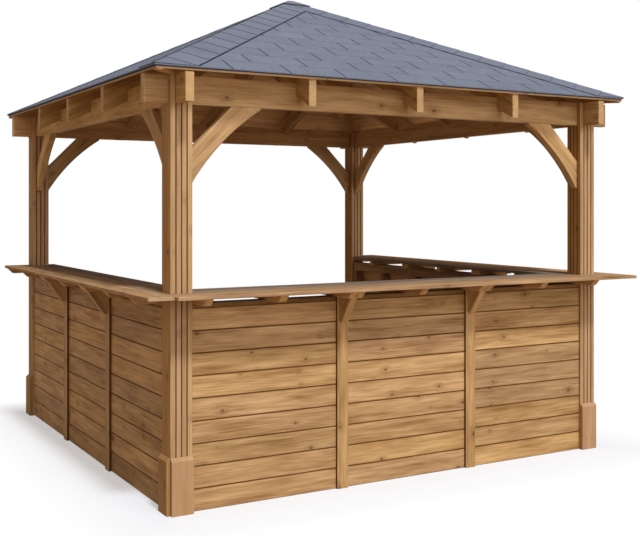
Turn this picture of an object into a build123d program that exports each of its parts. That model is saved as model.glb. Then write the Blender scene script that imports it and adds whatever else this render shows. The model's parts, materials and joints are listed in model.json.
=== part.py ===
from build123d import *

import math
import os

# Open garden bar gazebo. Four laminated posts carry crossed beams, arched braces and a hipped, shingled roof.
# Half-height boarded walls with bar counters close three sides. The back is left open as the way in.
# Lengths are in millimetres. The front faces -Y, +X is to the right and +Z is up from the ground.

# Posts, glued up from boards set on edge
frame_size = 2900.0
lamina_thickness = 30.0
lamina_count = 4
groove_width = 7.0
groove_depth = 4.0
post_arris = 5.0
cheek_height = 27.0

# Plinth boards round the feet of the posts
plinth_height = 290.0
plinth_thickness = 20.0
plinth_bevel = 17.0
plinth_round = 3.0
plinth_seam = 0.8

# Beams that cross in the heads of the posts
beam_underside = 2070.0
beam_depth = 145.0
beam_width = 45.0
beam_overhang = 128.0
beam_arris = 2.5

# Arched braces between post and beam
brace_upper_leg = 230.0
brace_lower_leg = 417.0
brace_sagitta = 35.0
brace_tip = 14.0

# Roof frame
roof_pitch = 25.0
rafter_width = 45.0
rafter_depth = 134.0
rafter_spacing = 695.0
tail_overhang = 112.0
heel_height = 77.0
king_flats = 120.0
king_drop = 20.0

# Roof covering
deck_overhang = 119.0
deck_thickness = 18.0
shingle_drip = 10.0
shingle_thickness = 6.0
hip_cap_half_width = 160.0
hip_cap_thickness = 5.0
hip_cap_joint = 0.5
apex_cap_half = 105.0
apex_cap_thickness = 6.0

# Boarded wall panels
bay_count = 3
board_count = 9
board_cover = 115.0
board_vee_width = 8.0
board_vee_depth = 5.0
cladding_thickness = 19.0
cladding_setback = 14.0
stud_width = 45.0
stud_depth = 70.0
rail_height = 45.0
cap_rail_thickness = 22.0
bay_joint = 2.0

# Battens over the panel joints, with gusset brackets
batten_width = 70.0
batten_depth = 17.0
batten_arris = 3.0
gusset_thickness = 45.0
gusset_reach = 118.0
gusset_drop = 134.0
gusset_nose = 25.0

# Bearers and bar counters
bearer_width = 45.0
bearer_height = 37.0
bearer_inset = 25.0
counter_thickness = 19.0
counter_overhang = 195.0
counter_outer_board = 158.0
counter_inner_board = 130.0
side_overhang = 174.0
side_front_overhang = 155.0
side_outer_board = 137.0
counter_side_board = 110.5
side_bearer_inset = 8.0
post_bearer_inset = 55.0
back_bearer_shift = 57.0
counter_board_gap = 3.5
counter_scribe = 2.0
counter_arris = 2.5

# Fits and cuts
nail_gap = 0.3
overrun = 50.0

# Derived sizes
post_width = lamina_thickness * lamina_count
post_out = frame_size / 2
post_in = post_out - post_width
beam_top = beam_underside + beam_depth
beam_out = post_out - lamina_thickness
beam_in = beam_out - beam_width
beam_end = post_out + beam_overhang
slope = math.tan(math.radians(roof_pitch))
plumb = 1 / math.cos(math.radians(roof_pitch))
root2 = math.sqrt(2)
rafter_apex = beam_top + heel_height + slope * beam_out
deck_apex = rafter_apex + deck_thickness * plumb
shingle_apex = deck_apex + shingle_thickness * plumb
cap_apex = shingle_apex + hip_cap_thickness * plumb
deck_half = post_out + deck_overhang
shingle_half = deck_half + shingle_drip
rafter_end = post_out + tail_overhang
bay_width = 2 * post_in / bay_count
wall_top = board_count * board_cover
cladding_out = post_out - cladding_setback
cladding_in = cladding_out - cladding_thickness
stud_in = cladding_in - stud_depth
bearer_bottom = wall_top + cap_rail_thickness
bearer_top = bearer_bottom + bearer_height
counter_top = bearer_top + counter_thickness
counter_out = post_out + counter_overhang
counter_mid_out = counter_out - counter_outer_board - counter_board_gap
counter_mid_in = counter_mid_out - counter_inner_board
counter_inner_out = counter_mid_in - counter_board_gap
counter_in = counter_inner_out - counter_inner_board
side_out = post_out + side_overhang
side_mid_out = side_out - side_outer_board - counter_board_gap
side_mid_in = side_mid_out - counter_side_board
side_inner_out = side_mid_in - counter_board_gap
side_in = side_inner_out - counter_side_board
front_bearer_out = counter_out - bearer_inset
side_bearer_out = side_out - side_bearer_inset
front_bearer_in = counter_in + bearer_inset
side_bearer_in = side_in + bearer_inset

# The right beam keeps the same place in its post as the left one, so it lies nearer the middle by this much.
right_beam_shift = post_width - 2 * lamina_thickness - beam_width

# The middle of the plan lies between the front counter's edge and the back edge of the roof.
plan_shift = (counter_out - shingle_half) / 2

SIDES = {"front": 0.0, "right": 90.0, "back": 180.0, "left": -90.0}
WALLS = ("front", "left", "right")


def block(x_range, y_range, z_range):
    """A squared piece of timber between the given limits."""
    sizes = [high - low for low, high in (x_range, y_range, z_range)]
    middle = [(high + low) / 2 for low, high in (x_range, y_range, z_range)]
    return Pos(*middle) * Box(*sizes)


def turned(shape, side):
    """A piece modelled for the front side, turned to another side."""
    return Rot(0, 0, SIDES[side]) * shape


def profile(points, plane, length):
    """An outline in the given plane, extruded evenly to both sides of it."""
    return extrude(plane * make_face(Polyline(*points, close=True)), amount=length / 2, both=True)


def eased(piece, axis, size):
    """The four long arrises of a squared timber, rounded by hand plane."""
    return fillet(piece.edges().filter_by(axis), size)


def beam_line(side):
    """Outer and inner face of the beam over one side, measured from the middle."""
    shift = right_beam_shift if side == "right" else 0.0
    return beam_out - shift, beam_in - shift


def beam_blank(side):
    """The full section of one side's beam, before the joints are cut."""
    outer, inner = beam_line(side)
    blank = block((-beam_end, beam_end), (-outer, -inner), (beam_underside, beam_top))
    return turned(eased(blank, Axis.X, beam_arris), side)


def beam_void(side):
    """The room that one side's beam takes up, with square arrises, for cutting its seats."""
    outer, inner = beam_line(side)
    return turned(block((-beam_end, beam_end), (-outer, -inner), (beam_underside, beam_top)), side)


def beam(side):
    """A beam halved at both ends over the beams that it crosses."""
    half = beam_underside + beam_depth / 2
    front_or_back = side in ("front", "back")
    cut_range = (half, beam_top + overrun) if front_or_back else (beam_underside - overrun, half)
    crossing = ("left", "right") if front_or_back else ("front", "back")
    piece = beam_blank(side)
    for other in crossing:
        outer, inner = beam_line(other)
        piece -= turned(block((-beam_end, beam_end), (-outer, -inner), cut_range), other)
    return piece


def post(x_side, y_side):
    """A glued post with grooved faces; its left-hand board runs on up between the beams."""
    outline = fillet(Rectangle(post_width, post_width).vertices(), post_arris)
    half = post_width / 2
    vee = make_face(Polyline((-groove_width / 2, 0), (groove_width / 2, 0), (0, groove_depth), close=True))
    inner_face = -90.0 if x_side > 0 else 90.0
    for index in range(1, lamina_count):
        along = index * lamina_thickness - half
        for turn in (0.0, 180.0, inner_face):
            outline -= Rot(0, 0, turn) * Pos(along, -half) * vee
    x_middle = x_side * (post_out - half)
    y_middle = y_side * (post_out - half)
    piece = Pos(x_middle, y_middle) * extrude(outline, amount=beam_top)
    left = x_middle - half
    upper = block(
        (left + lamina_thickness, left + post_width + overrun),
        (y_middle - half - overrun, y_middle + half + overrun),
        (beam_underside + cheek_height, beam_top + overrun),
    )
    piece -= upper
    piece -= beam_void("front" if y_side < 0 else "back")
    piece -= beam_void("left" if x_side < 0 else "right")
    return piece


def plinth_boards(x_side, y_side):
    """Two foot boards with weathered tops on the outer faces of one post, modelled on the front right."""
    face = post_out + plinth_thickness
    front = block((post_in, post_out), (-face, -post_out), (0, plinth_height))
    front = chamfer(front.edges().filter_by(Axis.X).group_by(Axis.Z)[-1].sort_by(Axis.Y)[0], plinth_bevel)
    front = fillet(front.edges().filter_by(Axis.Z).sort_by(Axis.Y)[:2], plinth_round)
    side = block((post_out, face), (plinth_seam - post_out, -post_in), (0, plinth_height))
    side = chamfer(side.edges().filter_by(Axis.Y).group_by(Axis.Z)[-1].sort_by(Axis.X)[-1], plinth_bevel)
    side = fillet(side.edges().filter_by(Axis.Z).sort_by(Axis.X)[-2:], plinth_round)
    boards = [front, side]
    if x_side < 0:
        boards = [mirror(board, Plane.YZ) for board in boards]
    if y_side > 0:
        boards = [mirror(board, Plane.XZ) for board in boards]
    return boards


def brace(side, end):
    """An arched brace under one side's beam, at its left (-1) or right (1) end."""
    outer, inner = beam_line(side)
    bow = brace_lower_leg / 2 - brace_sagitta / root2
    edges = [
        Line((brace_upper_leg, 0), (0, brace_upper_leg)),
        Line((0, brace_upper_leg), (0, brace_lower_leg)),
        ThreePointArc((0, brace_lower_leg), (bow, bow), (brace_lower_leg, 0)),
        Line((brace_lower_leg, 0), (brace_upper_leg, 0)),
    ]
    tip = brace_lower_leg - brace_tip
    outline = make_face(edges) & Pos(tip / 2, tip / 2) * Rectangle(tip, tip)
    plane = Plane((end * post_in, -(outer + inner) / 2, beam_underside), x_dir=(-end, 0, 0), z_dir=(0, end, 0))
    if plane.y_dir.Z > 0:
        plane = Plane(plane.origin, x_dir=plane.x_dir, z_dir=-plane.z_dir)
    return turned(extrude(plane * outline, amount=beam_width / 2, both=True), side)


def rafter_line(distance):
    """Height of the rafters' upper edge at a distance from the middle of the plan."""
    return rafter_apex - slope * distance


def rafter_blank(start):
    """A common rafter on the front side's middle line, from the given distance out to its plumb-cut tail."""
    drop = rafter_depth * plumb
    points = [
        (-rafter_end, rafter_line(rafter_end)),
        (-start, rafter_line(start)),
        (-start, rafter_line(start) - drop),
        (-rafter_end, rafter_line(rafter_end) - drop),
    ]
    return profile(points, Plane.YZ, rafter_width)


def rafters(side):
    """A common rafter to the king block and two jack rafters cut to the hips, all trenched over the beam."""
    outer, inner = beam_line(side)
    trench = block((-beam_end, beam_end), (-outer, -inner), (beam_underside, beam_top))
    pieces = [rafter_blank(king_flats / 2) - trench]
    hip_side = rafter_width / 2
    for hand in (-1, 1):
        jack = Pos(hand * rafter_spacing, 0, 0) * rafter_blank(rafter_spacing / 2)
        cheek = Plane(
            (-hand * hip_side / root2, -hip_side / root2, 0),
            z_dir=(-hand, -1, 0),
        )
        pieces.append(split(jack, bisect_by=cheek, keep=Keep.TOP) - trench)
    return [turned(piece, side) for piece in pieces]


def roof_cut(piece):
    """The piece as it is left below the four planes of the rafters' upper edges."""
    for away in ((0, slope), (0, -slope), (slope, 0), (-slope, 0)):
        piece = split(piece, bisect_by=Plane((0, 0, rafter_apex), z_dir=(*away, -1)), keep=Keep.TOP)
    return piece


def hip_rafter(x_side, y_side):
    """A hip rafter backed to both roof slopes, with a level tail that lies over the crossed beams."""
    inner = beam_in if x_side < 0 else post_in
    seat_start = inner * root2 - rafter_width / 2
    drop = rafter_depth * plumb
    start = king_flats / 2
    finish = rafter_end * root2
    points = [
        (start, rafter_line(start / root2)),
        (finish, rafter_line(rafter_end)),
        (finish, beam_top),
        (seat_start, beam_top),
        (seat_start, rafter_line(seat_start / root2) - drop),
        (start, rafter_line(start / root2) - drop),
    ]
    piece = profile(points, Plane.XZ, rafter_width)
    return roof_cut(Rot(0, 0, math.degrees(math.atan2(y_side, x_side))) * piece)


def king_block():
    """The eight-sided block at the peak that all the long rafters butt against."""
    bottom = rafter_line(king_flats / 2) - rafter_depth * plumb - king_drop
    outline = RegularPolygon(king_flats / 2, 8, major_radius=False, rotation=22.5)
    return roof_cut(Pos(0, 0, bottom) * extrude(outline, amount=rafter_apex - bottom))


def slab(corners, apex, thickness):
    """A sheet on one roof slope: plan corners laid on the front slope and thickened upwards."""
    points = [(x, y, apex + slope * y) for x, y in corners]
    return extrude(make_face(Polyline(*points, close=True)), amount=thickness * plumb, dir=(0, 0, 1))


def roof_slope(side, half, apex, thickness):
    """One triangular slope of the roof, mitred to its neighbours at the hips."""
    return turned(slab([(-half, -half), (half, -half), (0, 0)], apex, thickness), side)


def hip_cap(turn):
    """A folded strip over one hip, modelled over the front right hip."""
    edge = shingle_half
    reach = hip_cap_half_width * root2
    start = hip_cap_joint
    strip = [(edge, -edge), (edge - reach, -edge), (start, -reach - start), (start, -start)]
    front = slab(strip, shingle_apex, hip_cap_thickness)
    right = mirror(front, Plane((0, 0, 0), z_dir=(1, 1, 0)))
    return Rot(0, 0, turn) * (front + right)


def apex_cap():
    """The folded cap over the peak."""
    half = apex_cap_half
    faces = [roof_slope(side, half, cap_apex, apex_cap_thickness) for side in SIDES]
    return faces[0] + faces[1] + faces[2] + faces[3]


def bay_ranges():
    """Left and right limit of each wall panel between the posts."""
    ranges = []
    for index in range(bay_count):
        low = index * bay_width - post_in
        high = low + bay_width
        low += bay_joint / 2 if index > 0 else 0.0
        high -= bay_joint / 2 if index < bay_count - 1 else 0.0
        ranges.append((low, high))
    return ranges


def cladding(side):
    """Panels of tongued boards with vee joints between the courses."""
    points = [(-cladding_in, 0), (-cladding_out, 0)]
    for index in range(1, board_count):
        joint = index * board_cover
        points += [
            (-cladding_out, joint - board_vee_width / 2),
            (-cladding_out + board_vee_depth, joint),
            (-cladding_out, joint + board_vee_width / 2),
        ]
    points += [(-cladding_out, wall_top), (-cladding_in, wall_top)]
    panels = []
    for low, high in bay_ranges():
        panels.append(Pos((low + high) / 2, 0, 0) * profile(points, Plane.YZ, high - low))
    return [turned(panel, side) for panel in panels]


def wall_frame(side):
    """Studs, rails and a cap rail behind each panel."""
    pieces = []
    depth = (-cladding_in, -stud_in)
    stud_range = (rail_height + nail_gap, wall_top - rail_height - nail_gap)
    for low, high in bay_ranges():
        middle = (low + high) / 2
        pieces.append(block((low, high), depth, (0, rail_height)))
        pieces.append(block((low, high), depth, (wall_top - rail_height, wall_top)))
        pieces.append(block((low, low + stud_width), depth, stud_range))
        pieces.append(block((middle - stud_width / 2, middle + stud_width / 2), depth, stud_range))
        pieces.append(block((high - stud_width, high), depth, stud_range))
        pieces.append(block((low, high), (-cladding_out, -stud_in), (wall_top + nail_gap, bearer_bottom)))
    return [turned(piece, side) for piece in pieces]


def battens(side):
    """Battens over the joints between panels, each with a blunt gusset bracket under the counter."""
    pieces = []
    face = cladding_out + batten_depth
    gusset_back = face + nail_gap
    outline = [
        (-gusset_back, bearer_bottom),
        (-gusset_back - gusset_reach, bearer_bottom),
        (-gusset_back - gusset_nose, bearer_bottom - gusset_drop),
        (-gusset_back, bearer_bottom - gusset_drop),
    ]
    for index in range(1, bay_count):
        joint = index * bay_width - post_in
        batten = block(
            (joint - batten_width / 2, joint + batten_width / 2), (-face, -cladding_out), (0, bearer_bottom)
        )
        pieces.append(fillet(batten.edges().filter_by(Axis.Z).sort_by(Axis.Y)[:2], batten_arris))
        pieces.append(Pos(joint, 0, 0) * profile(outline, Plane.YZ, gusset_thickness))
    return [turned(piece, side) for piece in pieces]


def bearers(side):
    """Bearers across the cap rails, undercut at their outer ends; the last one of a side stands on the back post."""
    pieces = []
    last = bay_count - 1
    bearer_in = front_bearer_in if side == "front" else side_bearer_in
    bearer_out = front_bearer_out if side == "front" else side_bearer_out
    back = {"left": 0, "right": last}.get(side)
    for index, (low, high) in enumerate(bay_ranges()):
        middle = (low + high) / 2
        outwards = -1 if index == 0 else 1
        for place in (low + bearer_width / 2, middle, high - bearer_width / 2):
            corner = (index == 0 and place < middle) or (index == last and place > middle)
            inner = stud_in if side == "front" and corner else bearer_in
            if index == back and corner:
                place, inner = outwards * (post_out - post_bearer_inset), post_out + nail_gap
            elif index == back and place == middle:
                place += outwards * back_bearer_shift
            outline = [
                (-inner, bearer_bottom),
                (-inner, bearer_top),
                (-bearer_out, bearer_top),
                (bearer_height - bearer_out, bearer_bottom),
            ]
            pieces.append(Pos(place, 0, 0) * profile(outline, Plane.YZ, bearer_width))
    return [turned(piece, side) for piece in pieces]


def post_scribes():
    """The room that the counters leave round the posts."""
    low = post_in - counter_scribe
    high = post_out + counter_scribe
    levels = (bearer_bottom, counter_top + overrun)
    return [
        block(sorted((x * low, x * high)), sorted((y * low, y * high)), levels) for x in (-1, 1) for y in (-1, 1)
    ]


def counter_boards(rows):
    """Counter boards with eased upper arrises, cut round the posts."""
    boards = []
    for x_range, y_range in rows:
        board = block(x_range, y_range, (bearer_top, counter_top))
        board = fillet(board.edges().group_by(Axis.Z)[-1], counter_arris)
        for scribe in post_scribes():
            board -= scribe
        boards.append(board)
    return boards


def front_counter():
    """Three boards from the left counter on; the outer one runs past the right counter's end."""
    mid_end = side_mid_in - counter_board_gap
    inner_end = side_in - counter_board_gap
    return counter_boards([
        ((-side_mid_out, side_out), (-counter_out, counter_outer_board - counter_out)),
        ((-mid_end, mid_end), (-counter_mid_out, -counter_mid_in)),
        ((-inner_end, inner_end), (-counter_inner_out, -counter_in)),
    ])


def side_counter(x_side):
    """Three boards from the front to the back face of the back post; the left outer one shows its front end."""
    outer_front = post_out + side_front_overhang if x_side < 0 else counter_mid_out

    def across(outer, inner):
        return tuple(sorted((x_side * outer, x_side * inner)))

    return counter_boards([
        (across(side_out, side_out - side_outer_board), (-outer_front, post_out)),
        (across(side_mid_out, side_mid_in), (-counter_mid_out, post_out)),
        (across(side_inner_out, side_in), (-counter_inner_out, post_out)),
    ])


def build():
    """Every piece of the gazebo, by name."""
    corners = {"front_left": (-1, -1), "front_right": (1, -1), "back_left": (-1, 1), "back_right": (1, 1)}
    nodes = {}
    for name, (x_side, y_side) in corners.items():
        front_or_back = "front" if y_side < 0 else "back"
        left_or_right = "left" if x_side < 0 else "right"
        nodes[f"post_{name}"] = [post(x_side, y_side)]
        nodes[f"braces_{name}"] = [
            brace(front_or_back, -x_side * y_side),
            brace(left_or_right, x_side * y_side),
        ]
    nodes["plinth_boards"] = [board for corner in corners.values() for board in plinth_boards(*corner)]
    for side in SIDES:
        nodes[f"{side}_beam"] = [beam(side)]
        nodes[f"{side}_rafters"] = rafters(side)
        nodes[f"{side}_roof_deck"] = [roof_slope(side, deck_half, rafter_apex, deck_thickness)]
        nodes[f"{side}_shingles"] = [roof_slope(side, shingle_half, deck_apex, shingle_thickness)]
    nodes["hip_rafters"] = [hip_rafter(*corner) for corner in corners.values()]
    nodes["king_block"] = [king_block()]
    nodes["hip_caps"] = [hip_cap(turn) for turn in SIDES.values()]
    nodes["apex_cap"] = [apex_cap()]
    for side in WALLS:
        nodes[f"{side}_cladding"] = cladding(side)
        nodes[f"{side}_wall_frame"] = wall_frame(side)
        nodes[f"{side}_battens"] = battens(side)
        nodes[f"{side}_bearers"] = bearers(side)
    nodes["front_counter"] = front_counter()
    nodes["left_counter"] = side_counter(-1)
    nodes["right_counter"] = side_counter(1)
    return nodes


os.makedirs("parts", exist_ok=True)
for node, pieces in build().items():
    solids = [solid for piece in pieces for solid in piece.solids()]
    placed = [Pos(0, plan_shift, 0) * solid for solid in solids]
    shape = placed[0] if len(placed) == 1 else Compound(children=placed)
    export_step(shape, f"parts/{node}.step")
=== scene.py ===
"""Garden bar gazebo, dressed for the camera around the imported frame.

Lengths are in metres. The front faces -Y, +X is to the right along the front counter and +Z is up.
"""

import json
import logging
import math
import random
from collections.abc import Callable, Iterable
from dataclasses import dataclass
from enum import Enum

import bmesh
import bpy
from mathutils import Matrix, Vector

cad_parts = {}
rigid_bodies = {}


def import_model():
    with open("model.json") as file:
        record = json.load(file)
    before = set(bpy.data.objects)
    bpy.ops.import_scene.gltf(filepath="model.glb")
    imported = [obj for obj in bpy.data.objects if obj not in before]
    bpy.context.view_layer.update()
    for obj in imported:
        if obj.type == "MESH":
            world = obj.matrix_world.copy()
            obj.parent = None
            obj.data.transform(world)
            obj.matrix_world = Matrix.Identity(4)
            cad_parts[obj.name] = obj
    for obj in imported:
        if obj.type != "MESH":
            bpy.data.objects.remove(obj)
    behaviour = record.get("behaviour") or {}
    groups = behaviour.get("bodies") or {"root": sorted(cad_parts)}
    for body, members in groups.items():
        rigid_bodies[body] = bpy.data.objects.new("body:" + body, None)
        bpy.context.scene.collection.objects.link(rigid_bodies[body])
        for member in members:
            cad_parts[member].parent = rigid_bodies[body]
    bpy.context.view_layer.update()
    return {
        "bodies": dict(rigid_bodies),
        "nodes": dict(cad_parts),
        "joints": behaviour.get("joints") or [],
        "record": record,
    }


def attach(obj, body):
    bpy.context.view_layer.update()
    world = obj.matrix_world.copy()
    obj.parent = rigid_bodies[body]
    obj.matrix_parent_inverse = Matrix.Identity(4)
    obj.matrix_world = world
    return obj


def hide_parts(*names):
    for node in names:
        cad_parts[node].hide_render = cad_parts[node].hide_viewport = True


LOG = logging.getLogger("gazebo")
BODY = "root"

# The posts stand evenly round this point of the plan.
PLAN_MIDDLE = (0.0, 0.033, 0.0)
MM = 0.001
# Points closer than this lie in one plane.
TOUCH = 1e-5
# A face whose normal reaches this far along an axis faces that way.
FACING = 0.9

Piece = bpy.types.Object
Material = bpy.types.Material
Face = bmesh.types.BMFace
Edge = bmesh.types.BMEdge
Node = bpy.types.Node
Tree = bpy.types.NodeTree
Span = tuple[float, float]


class Side(Enum):
    """A side of the gazebo, with its turn about the middle from the front, in degrees."""

    FRONT = 0.0
    RIGHT = 90.0
    BACK = 180.0
    LEFT = -90.0

    @property
    def label(self) -> str:
        """The word for this side in the names of pieces."""
        return self.name.lower()

    @property
    def turn(self) -> Matrix:
        """The turn that takes a piece from the front to this side."""
        return Matrix.Rotation(math.radians(self.value), 4, "Z")


class Part(Enum):
    """A kind of part of a mesh, with the word for the list that holds its like."""

    VERT = "verts"
    EDGE = "edges"
    FACE = "faces"


def linear(hex_colour: str) -> tuple[float, float, float, float]:
    """Turns an sRGB colour into a linear one, with the numbers of the sRGB standard.

    Args:
        hex_colour: Six hex digits, with or without a leading hash.

    Returns:
        Red, green, blue and an alpha of 1.
    """
    digits = hex_colour.lstrip("#")
    parts = [int(digits[at:at + 2], 16) / 255 for at in (0, 2, 4)]
    red, green, blue = (
        part / 12.92 if part <= 0.04045 else ((part + 0.055) / 1.055) ** 2.4 for part in parts)
    return red, green, blue, 1.0


def put(tree: Tree, kind: str, inputs: dict | None = None, **settings: object) -> Node:
    """Adds a node with its settings, values and links.

    Args:
        tree: The node tree that takes the node.
        kind: Blender's name for the node.
        inputs: Values by socket name or number; a socket is linked, and a node by its first live output.
        settings: The node's own properties.

    Returns:
        The new node.
    """
    node = tree.nodes.new(kind)
    for name, value in settings.items():
        setattr(node, name, value)
    for socket, value in (inputs or {}).items():
        if isinstance(value, Node):
            value = next(output for output in value.outputs if output.enabled)
        if isinstance(value, bpy.types.NodeSocket):
            tree.links.new(value, node.inputs[socket])
        else:
            node.inputs[socket].default_value = value
    return node


def blank(shaded: Material | bpy.types.World) -> Tree:
    """Empties the node tree of a material or a world.

    Args:
        shaded: The material or the world.

    Returns:
        Its node tree, with no nodes.
    """
    shaded.use_nodes = True
    shaded.node_tree.nodes.clear()
    return shaded.node_tree


@dataclass(frozen=True)
class Pine:
    """Planed softwood under a brown stain.

    The eye gets soft pale and brown patches drawn out along the fibres, faint growth rings, a few small
    knots, and a change of tone from one board to the next. Cut ends are paler, and grooves hold more stain.
    On some pieces the dark soak colour and the low tones are painted shade.
    """

    name: str
    early: str = "#d2b080"
    late: str = "#8f6a41"
    knot: str = "#5f3c1f"
    end: str = "#c6a67e"
    # Stain that gathers in grooves, and also painted shade on the faces that some pieces mark
    soak: str = "#6b4319"

    # Growth rings: their width, how far they stray and in how many waves to the metre, and the shape of one
    ring_mm: float = 13.0
    ring_share: float = 0.14
    ring_stray_mm: float = 55.0
    ring_waves: tuple[float, float, float] = (1.3, 9.0, 9.0)
    ring_rise: Span = (0.2, 0.8)
    ring_fall: Span = (1.0, 0.8)

    # Streaks: the run and the width of each in mm, and how much it darkens
    streaks: tuple[tuple[float, float, float], ...] = (
        (600.0, 60.0, 1.3), (260.0, 20.0, 0.9), (110.0, 8.0, 0.6), (300.0, 4.0, 0.45))
    streak_roughness: float = 0.55
    depth: float = 0.42

    # Knots: the cells that they lie in, their size, and the core and the halo in radii
    knot_along_mm: float = 330.0
    knot_across_mm: float = 95.0
    knot_scatter: float = 0.85
    knot_bare_share: float = 0.4
    knot_radii_mm: Span = (0.5, 13.0)
    knot_stretch: float = 1.5
    knot_core: Span = (1.3, 0.6)
    knot_halo: Span = (4.0, 1.0)
    fray_mm: float = 6.25
    fray_depth_mm: float = 8.0
    parting: float = 0.75

    # How much of each colour is laid over the wood
    core_share: float = 0.75
    halo_share: float = 0.25
    end_share: float = 0.6
    soak_share: float = 0.9

    # Brightness, hue and saturation by the tone of the board
    tones: Span = (0.84, 1.14)
    hues: Span = (0.4975, 0.5035)
    saturations: Span = (0.96, 1.04)
    # Saturation of the lowest tones: painted shade where a piece gives its shaded faces a low tone
    casts: Span = (1.0, 1.0)
    cast_until: float = 0.15
    shuffle: float = 7.3

    roughness: float = 0.65
    roughness_swing: Span = (-0.12, 0.2)
    ior: float = 1.5
    gloss: float = 0.12
    ring_relief: float = 0.5
    bump: float = 0.3
    bump_mm: float = 0.8

    def material(self) -> Material:
        """Builds the stained pine.

        Returns:
            The material, which reads each board's own run of fibres, tone, grooves and cut ends, with painted
            shade in some tones and marks.
        """
        material = bpy.data.materials.new(self.name)
        tree = blank(material)
        along, across = self.knot_along_mm * MM, self.knot_across_mm * MM
        place = put(tree, "ShaderNodeAttribute", attribute_name="grain").outputs["Vector"]
        tone, cut_end, groove = (put(tree, "ShaderNodeAttribute", attribute_name=name).outputs["Fac"]
                                 for name in ("tone", "end", "groove"))

        # Knots: one at most in each cell, none in the cells that draw a low number
        cells = put(tree, "ShaderNodeVectorMath", {0: place, 1: (1 / along, 1 / across, 0.0)},
                    operation="MULTIPLY")
        knots = put(tree, "ShaderNodeTexVoronoi", {
            "Vector": cells, "Scale": 1.0, "Randomness": self.knot_scatter}, voronoi_dimensions="2D").outputs
        away = put(tree, "ShaderNodeVectorMath", {0: cells, 1: knots["Position"]}, operation="SUBTRACT")
        offset = put(tree, "ShaderNodeVectorMath", {0: away, 1: (along / self.knot_stretch, across, 0.0)},
                     operation="MULTIPLY")
        ragged_at = put(tree, "ShaderNodeVectorMath", {0: place, 1: (1 / (self.fray_mm * MM),) * 3},
                        operation="MULTIPLY")
        ragged = put(tree, "ShaderNodeTexNoise", {"Vector": ragged_at, "Scale": 1.0, "Detail": 1.0})
        distance = put(tree, "ShaderNodeVectorMath", {0: offset}, operation="LENGTH")
        frayed = put(tree, "ShaderNodeMath", {0: ragged, 1: self.fray_depth_mm * MM, 2: distance},
                     operation="MULTIPLY_ADD")
        draw = put(tree, "ShaderNodeSeparateColor", {0: knots["Color"]})
        smallest, largest = self.knot_radii_mm
        radius = put(tree, "ShaderNodeMapRange", {
            "Value": draw, "From Min": self.knot_bare_share, "From Max": 1.0,
            "To Min": smallest * MM, "To Max": largest * MM,
        })
        ratio = put(tree, "ShaderNodeMath", {0: frayed, 1: radius}, operation="DIVIDE")
        core, halo = (
            put(tree, "ShaderNodeMapRange", {"Value": ratio, "From Min": outside, "From Max": inside},
                interpolation_type="SMOOTHSTEP") for outside, inside in (self.knot_core, self.knot_halo))

        # Fibres that part to pass a knot
        pull = put(tree, "ShaderNodeVectorMath", {0: offset, 1: (0.0, -self.parting, 0.0)},
                   operation="MULTIPLY")
        parted = put(tree, "ShaderNodeVectorMath", {0: pull, "Scale": halo}, operation="SCALE")
        flow = put(tree, "ShaderNodeVectorMath", {0: place, 1: parted}, operation="ADD")

        # Growth rings round the pith, a few times wider than real ones so that they show
        wander_at = put(tree, "ShaderNodeVectorMath", {0: flow, 1: self.ring_waves}, operation="MULTIPLY")
        wander = put(tree, "ShaderNodeTexNoise", {"Vector": wander_at, "Scale": 1.0, "Detail": 2.0})
        flat = put(tree, "ShaderNodeVectorMath", {0: flow, 1: (0.0, 1.0, 1.0)}, operation="MULTIPLY")
        pith = put(tree, "ShaderNodeVectorMath", {0: flat}, operation="LENGTH")
        strayed = put(tree, "ShaderNodeMath", {0: wander, 1: self.ring_stray_mm * MM, 2: pith},
                      operation="MULTIPLY_ADD")
        count = put(tree, "ShaderNodeMath", {0: strayed, 1: 1 / (self.ring_mm * MM)}, operation="MULTIPLY")
        phase = put(tree, "ShaderNodeMath", {0: count}, operation="FRACT")
        rise, fall = (
            put(tree, "ShaderNodeMapRange", {"Value": phase, "From Min": low, "From Max": high},
                interpolation_type="SMOOTHSTEP") for low, high in (self.ring_rise, self.ring_fall))
        ring = put(tree, "ShaderNodeMath", {0: rise, 1: fall}, operation="MULTIPLY")

        # Uneven take-up of the stain: broad patches, flecks and single fibres, each drawn out along the board
        dark = put(tree, "ShaderNodeMath", {0: ring, 1: self.ring_share, 2: self.depth},
                   operation="MULTIPLY_ADD")
        for run, width, gain in self.streaks:
            waves = (1 / (run * MM), 1 / (width * MM), 1 / (width * MM))
            scaled = put(tree, "ShaderNodeVectorMath", {0: flow, 1: waves}, operation="MULTIPLY")
            streak = put(tree, "ShaderNodeTexNoise", {
                "Vector": scaled, "Scale": 1.0, "Detail": 2.0, "Roughness": self.streak_roughness})
            centred = put(tree, "ShaderNodeMath", {0: streak, 1: 0.5}, operation="SUBTRACT")
            dark = put(tree, "ShaderNodeMath", {0: centred, 1: gain, 2: dark}, operation="MULTIPLY_ADD")
        taken = put(tree, "ShaderNodeClamp", {"Value": dark})

        def laid(under: Node, mask: Node | bpy.types.NodeSocket, share: float, over: str) -> Node:
            """The colour under, with a share of another laid over it where the mask is."""
            amount = put(tree, "ShaderNodeMath", {0: mask, 1: share}, operation="MULTIPLY")
            return put(tree, "ShaderNodeMix", {0: amount, 6: under, 7: linear(over)}, data_type="RGBA")

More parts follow.
